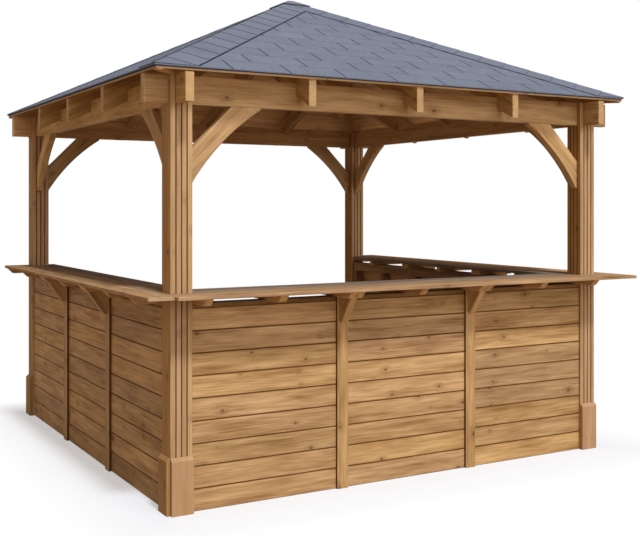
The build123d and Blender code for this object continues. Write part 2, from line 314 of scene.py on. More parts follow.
        # Colour, from the wood outwards
        wood = put(tree, "ShaderNodeMix", {0: taken, 6: linear(self.early), 7: linear(self.late)},
                   data_type="RGBA")
        knotted = laid(laid(wood, halo, self.halo_share, self.knot), core, self.core_share, self.knot)
        ended = laid(knotted, cut_end, self.end_share, self.end)
        shuffled = put(tree, "ShaderNodeMath", {0: tone, 1: self.shuffle}, operation="MULTIPLY")
        cast = put(tree, "ShaderNodeMath", {0: shuffled}, operation="FRACT")
        level, hue, varied = (
            put(tree, "ShaderNodeMapRange", {"Value": source, "To Min": low, "To Max": high})
            for source, (low, high) in ((tone, self.tones), (cast, self.hues), (cast, self.saturations)))
        # On the lowest tones the saturation shifts: painted shade on posts, plinths and counters
        shaded_cast, unshaded_cast = self.casts
        shade_saturation = put(tree, "ShaderNodeMapRange", {
            "Value": tone, "From Max": self.cast_until, "To Min": shaded_cast, "To Max": unshaded_cast})
        strength = put(tree, "ShaderNodeMath", {0: varied, 1: shade_saturation}, operation="MULTIPLY")
        toned = put(tree, "ShaderNodeHueSaturation", {
            "Color": ended, "Value": level, "Hue": hue, "Saturation": strength})
        # Stain in the grooves, and painted shade on the faces that some pieces mark dark
        colour = laid(toned, groove, self.soak_share, self.soak)

        smoother, rougher = self.roughness_swing
        rough = put(tree, "ShaderNodeMapRange", {
            "Value": streak, "To Min": self.roughness + smoother, "To Max": self.roughness + rougher})
        relief = put(tree, "ShaderNodeMath", {0: ring, 1: self.ring_relief, 2: streak},
                     operation="MULTIPLY_ADD")
        bump = put(tree, "ShaderNodeBump", {
            "Height": relief, "Strength": self.bump, "Distance": self.bump_mm * MM})
        shader = put(tree, "ShaderNodeBsdfPrincipled", {
            "Base Color": colour, "Roughness": rough, "Normal": bump, "IOR": self.ior,
            "Specular IOR Level": self.gloss,
        })
        put(tree, "ShaderNodeOutputMaterial", {0: shader})
        return material


@dataclass(frozen=True)
class MineralFelt:
    """Bitumen felt faced with slate-coloured mineral grit.

    The eye gets a matt blue-grey, speckled surface, with each tab a little lighter or darker than the next,
    and black bitumen where a cut edge or the sheet below shows. The same black also paints shade: a line
    under the shingles at the eave, a line along the hip tiles and the shade under the peak cap's edge.
    """

    name: str
    base: str = "#6f788b"
    pale: str = "#929bae"
    deep: str = "#495162"
    # Bare bitumen, also used as painted shade on some marked faces
    bitumen: str = "#24262c"

    # Grit: its size, and the part of its range that is pale or deep, with the most that shows of each
    grit_mm: float = 7.0
    pale_grit: Span = (0.52, 0.78)
    pale_share: float = 0.8
    deep_grit: Span = (0.48, 0.25)
    deep_share: float = 0.75

    # Brightness over broad clouds, so many to the metre, and from tab to tab
    clouds: float = 9.0
    cloud_range: Span = (0.3, 0.7)
    cloud_levels: Span = (0.94, 1.06)
    tab_levels: Span = (0.95, 1.05)

    roughness: float = 0.9
    roughness_swing: float = 0.08
    ior: float = 1.5
    gloss: float = 0.2
    bump: float = 0.4
    bump_mm: float = 1.0

    def material(self) -> Material:
        """Builds the grit-faced felt.

        Returns:
            The material; its grit is drawn coarser than the real 1 mm so that it shows.
        """
        material = bpy.data.materials.new(self.name)
        tree = blank(material)
        place = put(tree, "ShaderNodeTexCoord").outputs["Object"]
        tone, bare_or_shaded = (put(tree, "ShaderNodeAttribute", attribute_name=name).outputs["Fac"]
                      for name in ("tone", "groove"))
        grit = put(tree, "ShaderNodeTexNoise", {
            "Vector": place, "Scale": 1 / (self.grit_mm * MM), "Detail": 3.0, "Roughness": 0.7})
        cloud = put(tree, "ShaderNodeTexNoise", {"Vector": place, "Scale": self.clouds, "Detail": 3.0})
        grain = linear(self.base)
        for (start, full), share, over in ((self.pale_grit, self.pale_share, self.pale),
                                           (self.deep_grit, self.deep_share, self.deep)):
            amount = put(tree, "ShaderNodeMapRange", {
                "Value": grit, "From Min": start, "From Max": full, "To Max": share})
            grain = put(tree, "ShaderNodeMix", {0: amount, 6: grain, 7: linear(over)}, data_type="RGBA")
        (thin, thick), (dim, bright), (darker, paler) = self.cloud_range, self.cloud_levels, self.tab_levels
        shade = put(tree, "ShaderNodeMapRange", {
            "Value": cloud, "From Min": thin, "From Max": thick, "To Min": dim, "To Max": bright})
        tab = put(tree, "ShaderNodeMapRange", {"Value": tone, "To Min": darker, "To Max": paler})
        level = put(tree, "ShaderNodeMath", {0: shade, 1: tab}, operation="MULTIPLY")
        slate = put(tree, "ShaderNodeHueSaturation", {"Color": grain, "Value": level})
        # Marked faces show bitumen; on the drip strip, the hip bed and some edges this is partly painted
        # shade
        colour = put(tree, "ShaderNodeMix", {0: bare_or_shaded, 6: slate, 7: linear(self.bitumen)}, data_type="RGBA")
        bump = put(tree, "ShaderNodeBump", {
            "Height": grit, "Strength": self.bump, "Distance": self.bump_mm * MM})
        rough = put(tree, "ShaderNodeMapRange", {
            "Value": grit, "To Min": self.roughness - self.roughness_swing,
            "To Max": self.roughness + self.roughness_swing,
        })
        shader = put(tree, "ShaderNodeBsdfPrincipled", {
            "Base Color": colour, "Roughness": rough, "Normal": bump, "IOR": self.ior,
            "Specular IOR Level": self.gloss,
        })
        put(tree, "ShaderNodeOutputMaterial", {0: shader})
        return material


class Bench:
    """The workbench: Blender's modelling operators, used on one piece at a time."""

    # Points of a solid this close are one point, and faces this near to flat are one face.
    MERGE = 0.00002
    FLAT = math.radians(0.5)

    @staticmethod
    def clear() -> None:
        """Leaves nothing selected."""
        if bpy.context.object and bpy.context.object.mode != "OBJECT":
            bpy.ops.object.mode_set(mode="OBJECT")
        bpy.ops.object.select_all(action="DESELECT")

    @staticmethod
    def take(*pieces: Piece) -> None:
        """Selects some pieces only.

        Args:
            pieces: The pieces; the first one is made active.
        """
        Bench.clear()
        for piece in pieces:
            piece.select_set(True)
        bpy.context.view_layer.objects.active = pieces[0]

    @staticmethod
    def fix() -> None:
        """Moves the place of what is selected into its mesh."""
        bpy.ops.object.transform_apply(location=True, rotation=True, scale=True)

    @staticmethod
    def block(name: str, low: Iterable[float], high: Iterable[float]) -> Piece:
        """A squared block between two corners, ready for shaping.

        Args:
            name: The piece's name.
            low: Its lowest corner.
            high: Its highest corner.

        Returns:
            The block, with its size and place in its mesh.
        """
        low, high = Vector(low), Vector(high)
        Bench.clear()
        bpy.ops.mesh.primitive_cube_add(size=1.0, location=(low + high) / 2)
        piece = bpy.context.active_object
        piece.name = name
        piece.data.name = name
        piece.scale = high - low
        Bench.fix()
        return piece

    @staticmethod
    def copy(piece: Piece, name: str) -> Piece:
        """Another of the same piece.

        Args:
            piece: The piece to copy.
            name: The copy's name.

        Returns:
            The copy, with a mesh of its own and no parent.
        """
        twin = bpy.data.objects.new(name, piece.data.copy())
        twin.data.name = name
        bpy.context.scene.collection.objects.link(twin)
        return twin

    @staticmethod
    def from_node(name: str, node: Piece) -> Piece:
        """A copy of a solid of the frame, merged into clean faces.

        Args:
            name: The copy's name.
            node: The frame's object.

        Returns:
            The copy, with no parent and no material.
        """
        piece = Bench.copy(node, name)
        piece.data.materials.clear()
        Bench.take(piece)
        bpy.ops.mesh.customdata_custom_splitnormals_clear()
        bpy.ops.object.mode_set(mode="EDIT")
        bpy.ops.mesh.select_all(action="SELECT")
        bpy.ops.mesh.remove_doubles(threshold=Bench.MERGE)
        bpy.ops.mesh.dissolve_limited(angle_limit=Bench.FLAT)
        bpy.ops.object.mode_set(mode="OBJECT")
        return piece

    @staticmethod
    def place(piece: Piece, matrix: Matrix) -> None:
        """Puts a piece somewhere, with the place in its mesh.

        Args:
            piece: The piece to move.
            matrix: Its new place.
        """
        Bench.take(piece)
        piece.matrix_world = matrix
        Bench.fix()

    @staticmethod
    def edit(piece: Piece, kind: Part, pick: Callable[..., bool]) -> None:
        """Opens a piece for editing, with some parts of its mesh selected.

        Args:
            piece: The piece to shape.
            kind: The kind of part.
            pick: Tells which parts of that kind are selected.
        """
        Bench.take(piece)
        bpy.ops.object.mode_set(mode="EDIT")
        bpy.ops.mesh.select_mode(type=kind.name)
        bpy.ops.mesh.select_all(action="DESELECT")
        mesh = bmesh.from_edit_mesh(piece.data)
        for part in getattr(mesh, kind.value):
            if pick(part):
                part.select_set(True)
        bmesh.update_edit_mesh(piece.data)

    @staticmethod
    def bevel(piece: Piece, width: float, pick: Callable[[Edge], bool]) -> None:
        """Takes off the picked edges.

        Args:
            piece: The piece to shape.
            width: How far the bevel runs back from the edge.
            pick: Tells which edges are taken.
        """
        Bench.edit(piece, Part.EDGE, pick)
        bpy.ops.mesh.bevel(offset=width, segments=1, affect="EDGES")
        bpy.ops.object.mode_set(mode="OBJECT")

    @staticmethod
    def push(piece: Piece, shift: Iterable[float], pick: Callable[[Vector], bool]) -> None:
        """Moves some points of a piece.

        Args:
            piece: The piece to shape.
            shift: How far the points move.
            pick: Tells by their places which points move.
        """
        Bench.edit(piece, Part.VERT, lambda vertex: pick(vertex.co))
        bpy.ops.transform.translate(value=tuple(shift))
        bpy.ops.object.mode_set(mode="OBJECT")

    @staticmethod
    def cut(piece: Piece, point: Iterable[float], outwards: Iterable[float],
            pick: Callable[[Vector], bool] = lambda at: True) -> None:
        """Saws off what lies beyond a plane and closes the cut.

        Args:
            piece: The piece to saw.
            point: A point of the plane.
            outwards: The plane's normal, on the side of the waste.
            pick: Tells by their middles which faces are sawn; all are, unless it is given.
        """
        Bench.edit(piece, Part.FACE, lambda face: pick(face.calc_center_median()))
        bpy.ops.mesh.bisect(plane_co=tuple(point), plane_no=tuple(outwards), use_fill=True, clear_outer=True)
        bpy.ops.object.mode_set(mode="OBJECT")

    @staticmethod
    def tongue(piece: Piece, shoulder: float, height: float, pick: Callable[[Face], bool]) -> None:
        """Insets the picked face and draws its middle out.

        Args:
            piece: The piece to shape.
            shoulder: How far the inset runs in from the face's edges.
            height: How far the middle is drawn out along the face's normal.
            pick: Tells which face is taken.
        """
        Bench.edit(piece, Part.FACE, pick)
        bpy.ops.mesh.inset(thickness=shoulder)
        bpy.ops.mesh.extrude_region_shrink_fatten(TRANSFORM_OT_shrink_fatten={"value": height})
        bpy.ops.object.mode_set(mode="OBJECT")

    @staticmethod
    def open_face(piece: Piece, pick: Callable[[Face], bool]) -> None:
        """Takes away some faces of a piece.

        Args:
            piece: The piece to open.
            pick: Tells which faces go.
        """
        Bench.edit(piece, Part.FACE, pick)
        bpy.ops.mesh.delete(type="FACE")
        bpy.ops.object.mode_set(mode="OBJECT")

    @staticmethod
    def modify(piece: Piece, kind: str, **settings: object) -> None:
        """Adds a modifier and applies it.

        Args:
            piece: The piece to shape.
            kind: Blender's name for the modifier.
            settings: The modifier's own properties.
        """
        Bench.take(piece)
        modifier = piece.modifiers.new(kind.title(), kind)
        for name, value in settings.items():
            setattr(modifier, name, value)
        bpy.ops.object.modifier_apply(modifier=modifier.name)

    @staticmethod
    def row(piece: Piece, count: int, step: Iterable[float]) -> None:
        """Repeats a piece in a row, a step apart."""
        Bench.modify(piece, "ARRAY", count=count, use_relative_offset=False, use_constant_offset=True,
                     constant_offset_displace=tuple(step))

    @staticmethod
    def join(name: str, pieces: list[Piece]) -> Piece:
        """Makes one piece of several.

        Args:
            name: The name of the whole.
            pieces: The pieces to join.

        Returns:
            The whole.
        """
        Bench.take(*pieces)
        bpy.ops.object.join()
        whole = bpy.context.view_layer.objects.active
        whole.name = name
        whole.data.name = name
        return whole

    @staticmethod
    def smooth(piece: Piece, degrees: float) -> None:
        """Smooths the shading over edges flatter than the angle."""
        Bench.take(piece)
        bpy.ops.object.shade_smooth_by_angle(angle=math.radians(degrees))


class Boards:
    """What each board of a piece draws for itself: the run of its fibres, its tone and its cut ends."""

    # A direction square to no timber, which tells a face from the one behind it
    ASKEW = Vector((0.31, 0.57, 0.76))
    # How far a normal leans along the fibres: at most, on a board's side, and at least, on a cut end
    SIDE_LEAN = 0.1
    END_LEAN = 0.8
    # Where the pith lies: how far off along the fibres, to either side, and above or below
    PITH_ALONG = (0, 40)
    PITH_ACROSS = (-0.06, 0.06)
    PITH_THROUGH = (0.03, 0.09)

    @staticmethod
    def islands(mesh: bmesh.types.BMesh) -> list[list[bmesh.types.BMVert]]:
        """Finds the separate boards of a mesh.

        Args:
            mesh: The mesh of one or more boards.

        Returns:
            The points of each board.
        """
        seen: set[int] = set()
        groups = []
        for start in mesh.verts:
            if start.index in seen:
                continue
            seen.add(start.index)
            group, waiting = [], [start]
            while waiting:
                vertex = waiting.pop()
                group.append(vertex)
                for edge in vertex.link_edges:
                    other = edge.other_vert(vertex)
                    if other.index not in seen:
                        seen.add(other.index)
                        waiting.append(other)
            groups.append(group)
        return groups

    @staticmethod
    def axes(group: list[bmesh.types.BMVert]) -> Matrix:
        """The run of a board's fibres and the direction of its thickness.

        Args:
            group: The board's points.

        Returns:
            A matrix whose rows run along, across and through the board.
        """
        edges = {edge for vertex in group for edge in vertex.link_edges}
        faces = {face for vertex in group for face in vertex.link_faces}
        longest = max(edges, key=lambda edge: (round(edge.calc_length(), 5), -edge.index))
        along = (longest.verts[1].co - longest.verts[0].co).normalized()
        sums: dict[tuple[float, ...], float] = {}
        for face in sorted(faces, key=lambda face: face.index):
            if abs(face.normal.dot(along)) < Boards.SIDE_LEAN:
                flipped = face.normal if face.normal.dot(Boards.ASKEW) > 0 else -face.normal
                key = tuple(round(part, 2) for part in flipped)
                sums[key] = sums.get(key, 0.0) + face.calc_area()
        through = Vector(max(sums, key=sums.get))
        through = (through - along * through.dot(along)).normalized()
        return Matrix((along, through.cross(along), through))

    @staticmethod
    def write(piece: Piece, name: str, values: list[float]) -> None:
        """Writes a number for each face into a piece's mesh."""
        piece.data.attributes.new(name, "FLOAT", "FACE").data.foreach_set("value", values)

    @staticmethod
    def lay(piece: Piece, spread: float = 1.0, tone_at: Callable[[Vector], float] = lambda at: 0.5) -> None:
        """Writes every board's fibres, tone and cut ends into the piece's mesh.

        Args:
            piece: A piece of one or more separate boards.
            spread: How far the tones differ, from 0 to 1.
            tone_at: Gives a board's tone, before the spread, from the place of its middle.
        """
        draw = random.Random(piece.name)
        mesh = bmesh.new()
        mesh.from_mesh(piece.data)
        grain = [Vector()] * len(mesh.verts)
        tones = [0.5] * len(mesh.faces)
        ends = [0.0] * len(mesh.faces)
        for group in Boards.islands(mesh):
            axes = Boards.axes(group)
            middle = sum((vertex.co for vertex in group), Vector()) / len(group)
            pith = Vector((draw.uniform(*Boards.PITH_ALONG), draw.uniform(*Boards.PITH_ACROSS),
                           draw.choice((-1, 1)) * draw.uniform(*Boards.PITH_THROUGH)))
            tone = min(max(tone_at(middle) + spread * draw.uniform(-0.5, 0.5), 0.0), 1.0)
            for vertex in group:
                grain[vertex.index] = axes @ (vertex.co - middle) + pith
            for face in {face for vertex in group for face in vertex.link_faces}:
                tones[face.index] = tone
                ends[face.index] = 1.0 if abs(face.normal.dot(axes[0])) > Boards.END_LEAN else 0.0
        mesh.free()
        fibres = piece.data.attributes.new("grain", "FLOAT_VECTOR", "POINT")
        fibres.data.foreach_set("vector", [part for vector in grain for part in vector])
        Boards.write(piece, "tone", tones)
        Boards.write(piece, "end", ends)

    @staticmethod
    def mark(piece: Piece, pick: Callable[[Face], bool], share: float = 1.0) -> None:
        """Marks the picked faces dark: grooves and bare bitumen, and painted shade on some pieces.

        Args:
            piece: The piece whose faces are marked.
            pick: Tells which faces are marked.
            share: How dark they look, from 0 to 1.
        """
        mesh = bmesh.new()
        mesh.from_mesh(piece.data)
        marks = [share if pick(face) else 0.0 for face in mesh.faces]
        mesh.free()
        Boards.write(piece, "groove", marks)

    @staticmethod
    def tint(piece: Piece) -> None:
        """Writes a tone for each separate part of a piece into its mesh.

        Args:
            piece: A piece of felt.
        """
        draw = random.Random(piece.name)
        mesh = bmesh.new()
        mesh.from_mesh(piece.data)
        tones = [0.5] * len(mesh.faces)
        for group in Boards.islands(mesh):
            tone = draw.random()
            for face in {face for vertex in group for face in vertex.link_faces}:
                tones[face.index] = tone
        mesh.free()
        Boards.write(piece, "tone", tones)


def settle(piece: Piece, material: Material, slot: str, *nodes: str) -> None:
    """Gives a finished piece its material and ties it to the frame.

    Args:
        piece: The finished piece.
        material: Its finish.
        slot: The record's slot for that finish; not used.
        nodes: The frame's nodes that it stands for.
    """
    piece.data.materials.clear()
    piece.data.materials.append(material)
    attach(piece, BODY)
    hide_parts(*nodes)
    LOG.info("%s: %d faces, stands for %s", piece.name, len(piece.data.polygons), ", ".join(nodes))


@dataclass
class Timbers:
    """Solid timbers of the frame, with their arrises taken off."""

    nodes: dict[str, Piece]
    material: Material
    slot: str
    arris: float = 0.0
    spread: float = 0.6
    sharp: float = math.radians(40)
    soft_degrees: float = 20.0

    def soaked(self, face: Face) -> bool:
        """True for a face that holds more stain or is drawn dark as painted shade; none is on plain timbers.
        """
        return False

    def usual_tone(self, middle: Vector) -> float:
        """The tone of a timber by the place of its middle; the same all over on plain timbers."""
        return 0.5

    def shape(self, piece: Piece, name: str) -> None:
        """Shapes the copy of a node before its arrises go; plain timbers stay as they are."""

    def build(self, *names: str) -> None:
        """Dresses solids of the frame.

        Args:
            names: The names of their nodes.
        """
        for name in names:
            piece = Bench.from_node(f"{name}_timber", self.nodes[name])
            self.shape(piece, name)
            if self.arris:
                Bench.modify(piece, "BEVEL", width=self.arris, segments=1, limit_method="ANGLE",
                             angle_limit=self.sharp, use_clamp_overlap=True)
            Bench.smooth(piece, self.soft_degrees)
            Boards.mark(piece, self.soaked)
            Boards.lay(piece, self.spread, self.usual_tone)
            settle(piece, self.material, self.slot, name)


@dataclass
class Plinths(Timbers):
    """Boards round the feet of the posts, darker on the left and right faces as painted shade."""

    side_tone: float = 0.0
    front_tone: float = 0.6

    def usual_tone(self, middle: Vector) -> float:
        """The tone of a board by the face of the post that it lies on; the low tone of the left and right
        faces is painted shade.
        """
        out = middle - Vector(PLAN_MIDDLE)
        return self.side_tone if abs(out.x) > abs(out.y) else self.front_tone


@dataclass
class Counters(Timbers):
    """Counter tops, with painted shade that makes the inner boards under the roof darker and greyer."""

    spread: float = 0.1
    # Painted shade is full at the first distance from the middle of the plan and gone at the second
    bleached: Span = (1.31, 1.55)
    short_end: float = 1.243
    short_edge: float = 1.371

    def shape(self, piece: Piece, name: str) -> None:
        """Ends the right counter's inner board short of the back post."""
        if name.startswith(Side.RIGHT.label):
            Bench.cut(piece, (0.0, self.short_end, 0.0), (0.0, 1.0, 0.0), lambda at: at.x < self.short_edge)

    def usual_tone(self, middle: Vector) -> float:
        """The tone of a board by its distance from the middle of the plan, which paints the shade under the
        roof.

        Args:
            middle: The place of the board's middle.

        Returns:
            0 on the innermost boards and 1 on the outermost.
        """
        out = middle - Vector(PLAN_MIDDLE)
        inner, outer = self.bleached
        return (max(abs(out.x), abs(out.y)) - inner) / (outer - inner)


@dataclass
class Battens(Timbers):
    """Upright battens over the panel joints, with painted shade along their sides."""

    sharp: float = math.radians(60)
    tall: float = 0.9
    side_widths: Span = (0.008, 0.03)

    def soaked(self, face: Face) -> bool:
        """Finds the tall side faces of a batten, which are drawn dark as painted shade.

        Args:
            face: A face of the battens.

        Returns:
            True for a side face.
        """
        longest = max(edge.calc_length() for edge in face.edges)
        low, high = self.side_widths
        return longest > self.tall and low * longest < face.calc_area() < high * longest


@dataclass
class Posts(Timbers):
    """Posts glued up from boards on edge, with vee grooves along the joints.

    Faces narrower than "narrow" lie in the grooves, and each board's fibres are shifted along from the next.
    The left and right faces take a low tone, which is painted shade.
    """

    lamina: float = 0.030
    laminae: int = 4
    narrow: float = 0.008
    side_tone: float = 0.0
    lamina_tones: Span = (0.15, 0.8)
    lamina_shift: float = 9.0

    def soaked(self, face: Face) -> bool:
        """True for the two faces of a vee groove."""
        longest = max(edge.calc_length() for edge in face.edges)
        return face.calc_area() < self.narrow * longest and any(
            edge.is_manifold and not edge.is_convex and edge.calc_face_angle() > self.sharp
            for edge in face.edges)

    def build(self, *names: str) -> None:
        """Dresses posts, each board of a post in its own tone, and the left and right faces in a low tone as
        painted shade.

        Args:
            names: The names of their nodes.
        """
        for name in names:
            piece = Bench.from_node(f"{name}_timber", self.nodes[name])
            Boards.mark(piece, self.soaked)
            Bench.smooth(piece, self.soft_degrees)
            Boards.lay(piece, 0.0)
            draw = random.Random(name)
            tones = [draw.uniform(*self.lamina_tones) for _ in range(self.laminae)]
            runs = [draw.uniform(0.0, self.lamina_shift) for _ in range(self.laminae)]
            left = min(vertex.co.x for vertex in piece.data.vertices)

            def board(across: float) -> int:
                """The number of the board at this place across the post."""
                return min(max(int((across - left) / self.lamina), 0), self.laminae - 1)

            # The left and right faces get the low side tone: painted shade
            for face in piece.data.polygons:
                flat_side = abs(face.normal.x) > FACING
                tone = self.side_tone if flat_side else tones[board(face.center.x)]
                piece.data.attributes["tone"].data[face.index].value = tone
            for vertex in piece.data.vertices:
                piece.data.attributes["grain"].data[vertex.index].vector.x += runs[board(vertex.co.x)]
            settle(piece, self.material, self.slot, name)


@dataclass
class BoardedWall:
    """Tongued boards with vee joints, in panels between the posts.

    Faces narrower than "narrow" lie in the joints, and boards stand up to "proud" back from the face.
    """

    side: Side
    material: Material
    half_width: float = 1.330
    panels: int = 3
    panel_joint: float = 0.002
    courses: int = 9
    cover: float = 0.115
    face: float = 1.436
    thickness: float = 0.019
    vee: float = 0.003
    slot: float = 0.002
    shoulder: float = 0.006
    proud: float = 0.0008
    narrow: float = 0.008

    def board(self, width: float) -> Piece:
        """One board at the foot of the front wall, with a tongue on top and its outer long edges bevelled.

        Args:
            width: The width of the panel.

        Returns:
            The board, with its bevels and its tongue marked.
        """
        top = self.cover - self.slot
        piece = Bench.block("board", (-width / 2, -self.face, 0.0),
                            (width / 2, self.thickness - self.face, top))

        def outer_long(edge: Edge) -> bool:
            """True for the long edges of the outer face."""
            outer = all(abs(vertex.co.y + self.face) < TOUCH for vertex in edge.verts)
            return outer and edge.calc_length() > self.cover * 2

        Bench.tongue(piece, self.shoulder, self.slot, lambda face: face.normal.z > FACING)
        Bench.bevel(piece, self.vee, outer_long)
        Boards.mark(piece, lambda face: (
            face.calc_area() < self.narrow * width and abs(face.normal.x) < FACING))
        return piece

    def build(self) -> None:
        """Boards the whole wall."""
        draw = random.Random(self.side.label)
        bay = 2 * self.half_width / self.panels
        gap = self.panel_joint / 2
        name = f"{self.side.label}_cladding_boards"
        boards = []
        for panel in range(self.panels):
            low = panel * bay - self.half_width + (gap if panel > 0 else 0.0)
            high = (panel + 1) * bay - self.half_width - (gap if panel < self.panels - 1 else 0.0)
            pattern = self.board(high - low)
            for course in range(self.courses):
                twin = Bench.copy(pattern, f"{name}_{panel}_{course}")
                shift = Vector(((low + high) / 2, draw.uniform(0, self.proud), course * self.cover))
                Bench.place(twin, Matrix.Translation(shift))
                boards.append(twin)
            bpy.data.objects.remove(pattern)
        wall = Bench.join(name, boards)
        Bench.place(wall, Matrix.Translation(PLAN_MIDDLE) @ self.side.turn)
        Boards.lay(wall)
        settle(wall, self.material, "wall_timber", f"{self.side.label}_cladding")


@dataclass
class RoofSlopes:
    """The covering of the hipped roof: deck boards, shingle tabs, hip tiles and the cap at the peak.

    Heights that end in "under" are those of a layer's under side over the middle of the plan.
    """

    timber: Material
    felt: Material
    pitch: float = math.radians(25)

    # Deck boards, and how dark the edge of the eave board is painted, as shade under the shingles' overhang
    deck_half: float = 1.569
    deck_under: float = 2.95416
    deck_thickness: float = 0.018
    deck_boards: int = 17
    deck_vee: float = 0.0025
    edge_share: float = 0.4

    # Shingle tabs on their base sheet, and the drip strip along the eave, drawn part black as a painted
    # shadow line
    felt_half: float = 1.579
    felt_under: float = 2.97402
    felt_thickness: float = 0.006
    courses: int = 12
    tab_width: float = 0.333
    tab_lap: float = 0.004
    tab_thin: float = 0.0002
    tab_bevel: float = 0.0008
    slit: float = 0.009
    base_sheet: float = 0.0044
    drip: Span = (0.0015, 0.010)
    drip_share: float = 0.55

    # Hip tiles on their bed, a black strip that shows past their edges as a painted shadow line. The first
    # starts tile_start of an exposure below the corner, tile_bevel is a share of the thickness, and a face
    # whose normal lies below tile_front is a tile's lower edge, drawn black as cut felt and as painted shadow
    # at the lap.
    tile_under: float = 2.98064
    tile_half: float = 0.160
    tile_length: float = 0.190
    tile_exposure: float = 0.160
    tile_start: float = 0.1
    tile_thickness: float = 0.0019
    tile_bevel: float = 0.9
    tile_joint: float = 0.0005
    tile_front: float = -0.3
    bed: float = 0.0008
    bed_margin: float = 0.007

    # The cap, pressed flat at the top under a lid. Its upright faces' normals rise less than cap_upright;
    # they are drawn black as cut felt edges and as painted shade under the cap's edge.
    cap_under: float = 2.98615
    cap_half: float = 0.105
    cap_thickness: float = 0.006
    cap_flat: float = 2.981
    cap_lid: float = 0.0245
    cap_upright: float = 0.2

    @property
    def slope(self) -> float:
        """Rise for each metre of plan."""
        return math.tan(self.pitch)

    def slope_frame(self, half: float, apex: float) -> Matrix:
        """The front slope's own frame: along the eave, up the slope, and out of it.

        Args:
            half: Distance from the middle of the plan to the eave.
            apex: Height of the slope's plane over the middle of the plan.

        Returns:
            The frame, with its origin at the middle of the eave.
        """
        up = Vector((0.0, math.cos(self.pitch), math.sin(self.pitch)))
        out = Vector((0.0, -math.sin(self.pitch), math.cos(self.pitch)))
        frame = Matrix((Vector((1.0, 0.0, 0.0)), up, out)).transposed().to_4x4()
        frame.translation = (0.0, -half, apex - self.slope * half)
        return frame

    def trim(self, piece: Piece, half: float) -> None:
        """Cuts a piece of the front slope upright at the eave."""
        Bench.cut(piece, (0.0, -half, 0.0), (0.0, -1.0, 0.0))

    def mitre(self, piece: Piece) -> None:
        """Cuts a piece of the front slope to both hips."""
        for hand in (-1.0, 1.0):
            Bench.cut(piece, (0.0, 0.0, 0.0), (hand, 1.0, 0.0))

    def spread_round(self, pattern: Piece, suffix: str) -> list[tuple[Side, Piece]]:
        """Copies the front slope's piece to all four sides.

        Args:
            pattern: The piece, which goes once it is copied.
            suffix: The end of the copies' names.

        Returns:
            The sides with their copies.
        """
        pieces = []
        for side in Side:
            twin = Bench.copy(pattern, f"{side.label}_{suffix}")
            Bench.place(twin, Matrix.Translation(PLAN_MIDDLE) @ side.turn)
            pieces.append((side, twin))
        bpy.data.objects.remove(pattern)
        return pieces

    def deck(self) -> None:
        """Lays the deck boards from hip to hip, parallel to the eaves, with vee joints underneath."""
        frame = self.slope_frame(self.deck_half, self.deck_under)
        length = self.deck_half / math.cos(self.pitch)
        cover = length / self.deck_boards

        def lower_long(edge: Edge) -> bool:
            """True for the long edges underneath."""
            first, second = (vertex.co for vertex in edge.verts)
            return first.z < TOUCH and second.z < TOUCH and abs(first.x - second.x) > self.deck_vee

        boards = []
        for course in range(self.deck_boards):
            low = course * cover if course else -self.deck_thickness
            reach = (length - course * cover) * math.cos(self.pitch) + self.deck_thickness
            board = Bench.block(f"deck_{course}", (-reach, low, 0.0),
                                (reach, (course + 1) * cover, self.deck_thickness))
            Bench.bevel(board, self.deck_vee, lower_long)
            Bench.place(board, frame)
            if not course:
                self.trim(board, self.deck_half)
                # The eave board's front edge is darkened: painted shade under the shingles' overhang
                Boards.mark(board, lambda face: face.normal.y < -FACING, self.edge_share)
            self.mitre(board)
            boards.append(board)
        for side, deck in self.spread_round(Bench.join("deck_boards", boards), "deck_boards"):
            Boards.lay(deck)
            settle(deck, self.timber, "deck_timber", f"{side.label}_roof_deck")

    def tab(self, exposure: float) -> Piece:
        """One shingle tab at the eave, thick at its lower edge and thin where the next course covers it.

        Args:
            exposure: How much of the tab shows, up the slope.

        Returns:
            The tab, in the slope's own frame.
        """
        thin = self.base_sheet + self.tab_thin
        piece = Bench.block("tab", (0.0, 0.0, self.base_sheet),
                            (self.tab_width - self.slit, exposure + self.tab_lap, self.felt_thickness))
        top = self.felt_thickness - TOUCH
        Bench.push(piece, (0.0, 0.0, thin - self.felt_thickness), lambda at: at.y > exposure and at.z > top)
        Bench.bevel(piece, self.tab_bevel, lambda edge: all(
            vertex.co.z > top and vertex.co.y < TOUCH for vertex in edge.verts))
        return piece

    def shingles(self) -> None:
        """Lays courses of shingle tabs on a base sheet, each course half a tab along from the last."""
        frame = self.slope_frame(self.felt_half, self.felt_under)
        length = self.felt_half / math.cos(self.pitch)
        exposure = length / self.courses
        sheet = Bench.block("base_sheet", (-self.felt_half, -self.felt_thickness, 0.0),
                            (self.felt_half, length, self.base_sheet))
        Bench.place(sheet, frame)
        self.trim(sheet, self.felt_half)
        self.mitre(sheet)
        Boards.mark(sheet, lambda face: face.normal.y > -FACING)
